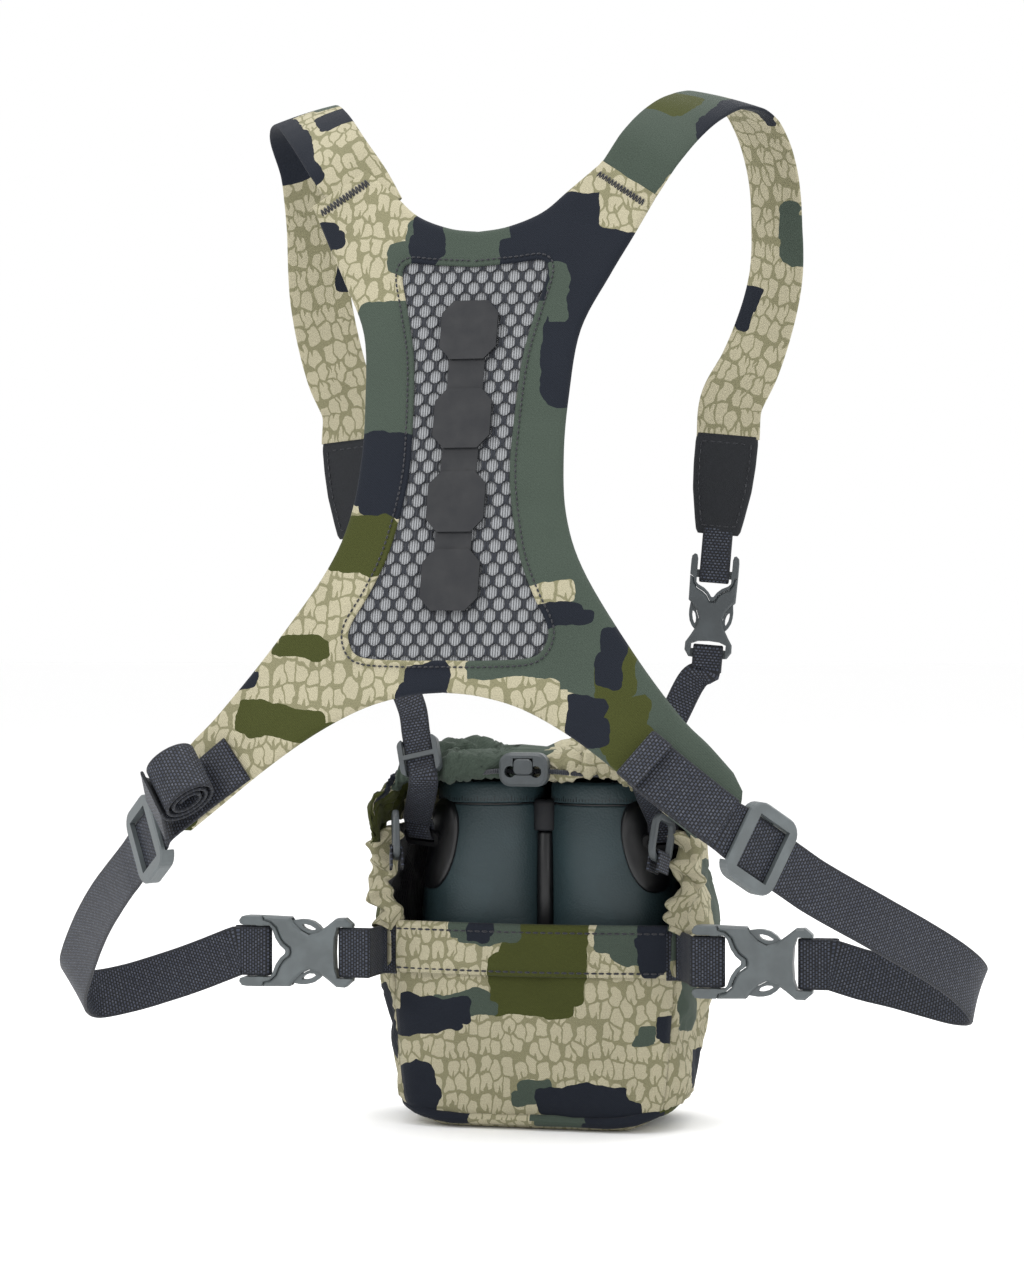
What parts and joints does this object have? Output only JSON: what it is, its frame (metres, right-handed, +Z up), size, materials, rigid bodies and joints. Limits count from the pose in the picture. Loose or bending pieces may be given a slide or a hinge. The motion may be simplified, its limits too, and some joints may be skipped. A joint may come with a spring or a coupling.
{
  "type": "binocular harness pack",
  "caption": "Chest pouch with a gathered hood for binoculars, carried by an X-shaped back yoke, padded shoulder straps and adjustable side straps with side-release buckles.",
  "frame": {"origin": "middle of the yoke's wearer-side face at its waist", "axes": "+X to the wearer's right, +Y forwards from the wearer's back to the chest pouch, +Z up"},
  "size_m": [0.4653, 0.3039, 0.517],
  "materials": {
    "camo_fabric": "matte printed woven camouflage",
    "lining_fabric": "matte knit",
    "spacer_mesh": "open knit spacer mesh",
    "rubber_pad": "satin moulded",
    "webbing": "ribbed weave",
    "buckle_plastic": "fine grain",
    "dark_plastic": "fine grain",
    "tab_leather": "fine grain, satin",
    "armour_rubber": "pebbled",
    "black_plastic": "satin",
    "elastic_cord": "braided"
  },
  "bodies": {
    "harness": {"band_tail_left": "webbing", "band_tail_right": "webbing", "base_piping": "camo_fabric", "bino_barrel_left": "armour_rubber", "bino_barrel_right": "armour_rubber", "bino_bridge": "black_plastic", "bino_eyecup_left": "black_plastic", "bino_eyecup_right": "black_plastic", "bino_lug_left": "black_plastic", "bino_lug_right": "black_plastic", "gate_web_left": "webbing", "gate_web_right": "webbing", "lug_web_left": "webbing", "lug_web_right": "webbing", "pouch_back": "camo_fabric", "pouch_band": "camo_fabric", "pouch_base": "camo_fabric", "pouch_shell": "camo_fabric", "shoulder_buckle_plug_left": "dark_plastic", "shoulder_buckle_plug_right": "dark_plastic", "shoulder_strap_left": "camo_fabric", "shoulder_strap_right": "camo_fabric", "side_buckle_plug_right": "buckle_plastic", "side_buckle_socket_left": "buckle_plastic", "side_gather_left": "camo_fabric", "side_gather_right": "camo_fabric", "side_strap_left": "webbing", "side_strap_right": "webbing", "strap_roll_left": "webbing", "strap_tab_left": "tab_leather", "strap_tab_right": "tab_leather", "strap_tail_right": "webbing", "tab_loop_left": "webbing", "tab_loop_right": "webbing", "yoke_emblem": "rubber_pad", "yoke_lining": "lining_fabric", "yoke_mesh": "spacer_mesh", "yoke_shell": "camo_fabric"},
    "side_plug_left": {"side_buckle_plug_left": "buckle_plastic", "buckle_web_left": "webbing"},
    "side_socket_right": {"side_buckle_socket_right": "buckle_plastic", "buckle_web_right": "webbing"},
    "prong_a_left": {"side_buckle_prong_a_left": "buckle_plastic"},
    "prong_b_left": {"side_buckle_prong_b_left": "buckle_plastic"},
    "shoulder_release_left": {"shoulder_buckle_socket_left": "dark_plastic", "drop_web_left": "webbing"},
    "ladder_lock_left": {"ladder_lock_left": "dark_plastic"},
    "slider_left": {"slider_left": "buckle_plastic"},
    "gate_ring_left": {"gate_ring_left": "dark_plastic"},
    "prong_a_right": {"side_buckle_prong_a_right": "buckle_plastic"},
    "prong_b_right": {"side_buckle_prong_b_right": "buckle_plastic"},
    "shoulder_release_right": {"shoulder_buckle_socket_right": "dark_plastic", "drop_web_right": "webbing"},
    "ladder_lock_right": {"ladder_lock_right": "dark_plastic"},
    "slider_right": {"slider_right": "buckle_plastic"},
    "gate_ring_right": {"gate_ring_right": "dark_plastic"},
    "hood": {"hood": "camo_fabric", "cord_lock": "dark_plastic", "hood_cord": "elastic_cord"},
    "cord_lock_button": {"cord_lock_button": "dark_plastic"}
  },
  "joints": [
    {"name": "side_release_left", "type": "slide", "parent": "harness", "child": "side_plug_left", "axis": [-1, 0, 0], "range_m": [0, 0.02]},
    {"name": "side_release_right", "type": "slide", "parent": "harness", "child": "side_socket_right", "axis": [1, 0, 0], "range_m": [0, 0.02]},
    {"name": "squeeze_a_left", "type": "hinge", "parent": "side_plug_left", "child": "prong_a_left", "pos_m": [-0.129, 0.11726, -0.2415], "axis": [0, 1, 0], "range_deg": [0, 6], "stiffness_Nm_per_rad": 0.05},
    {"name": "squeeze_b_left", "type": "hinge", "parent": "side_plug_left", "child": "prong_b_left", "pos_m": [-0.129, 0.11726, -0.2685], "axis": [0, 1, 0], "range_deg": [-6, 0], "stiffness_Nm_per_rad": 0.05},
    {"name": "squeeze_a_right", "type": "hinge", "parent": "harness", "child": "prong_a_right", "pos_m": [0.105, 0.11726, -0.2415], "axis": [0, 1, 0], "range_deg": [0, 6], "stiffness_Nm_per_rad": 0.05},
    {"name": "squeeze_b_right", "type": "hinge", "parent": "harness", "child": "prong_b_right", "pos_m": [0.105, 0.11726, -0.2685], "axis": [0, 1, 0], "range_deg": [-6, 0], "stiffness_Nm_per_rad": 0.05},
    {"name": "shoulder_release_left", "type": "slide", "parent": "harness", "child": "shoulder_release_left", "axis": [0.0766, -0.0574, -0.9954], "range_m": [0, 0.012], "deforming": ["drop_web_left"]},
    {"name": "ladder_lock_slide_left", "type": "slide", "parent": "harness", "child": "ladder_lock_left", "axis": [-0.2216, 0.2216, 0.9496], "range_m": [0, 0.012]},
    {"name": "slider_slide_left", "type": "slide", "parent": "harness", "child": "slider_left", "axis": [-0.5811, 0.6421, -0.5001], "range_m": [0, 0.014]},
    {"name": "gate_ring_swing_left", "type": "hinge", "parent": "harness", "child": "gate_ring_left", "pos_m": [-0.06797, 0.12919, -0.20587], "axis": [-0.29, 0.9183, -0.2694], "range_deg": [-10, 12]},
    {"name": "shoulder_release_right", "type": "slide", "parent": "harness", "child": "shoulder_release_right", "axis": [-0.0766, -0.0574, -0.9954], "range_m": [0, 0.012], "deforming": ["drop_web_right"]},
    {"name": "ladder_lock_slide_right", "type": "slide", "parent": "harness", "child": "ladder_lock_right", "axis": [0.3676, 0.311, 0.8765], "range_m": [0, 0.012]},
    {"name": "slider_slide_right", "type": "slide", "parent": "harness", "child": "slider_right", "axis": [0.5811, 0.6421, -0.5001], "range_m": [0, 0.014]},
    {"name": "gate_ring_swing_right", "type": "hinge", "parent": "harness", "child": "gate_ring_right", "pos_m": [0.06797, 0.12919, -0.20587], "axis": [-0.29, -0.9183, 0.2694], "range_deg": [-10, 12]},
    {"name": "hood_open", "type": "hinge", "parent": "harness", "child": "hood", "pos_m": [0, 0.21776, -0.194], "axis": [-1, 0, 0], "range_deg": [0, 110]},
    {"name": "cord_lock_press", "type": "slide", "parent": "hood", "child": "cord_lock_button", "axis": [0, 1, 0], "range_m": [0, 0.001], "stiffness_N_per_m": 200}
  ],
  "couplings": [
    {"joint": "squeeze_b_left", "follows": "squeeze_a_left", "ratio": -1},
    {"joint": "squeeze_b_right", "follows": "squeeze_a_right", "ratio": -1}
  ]
}
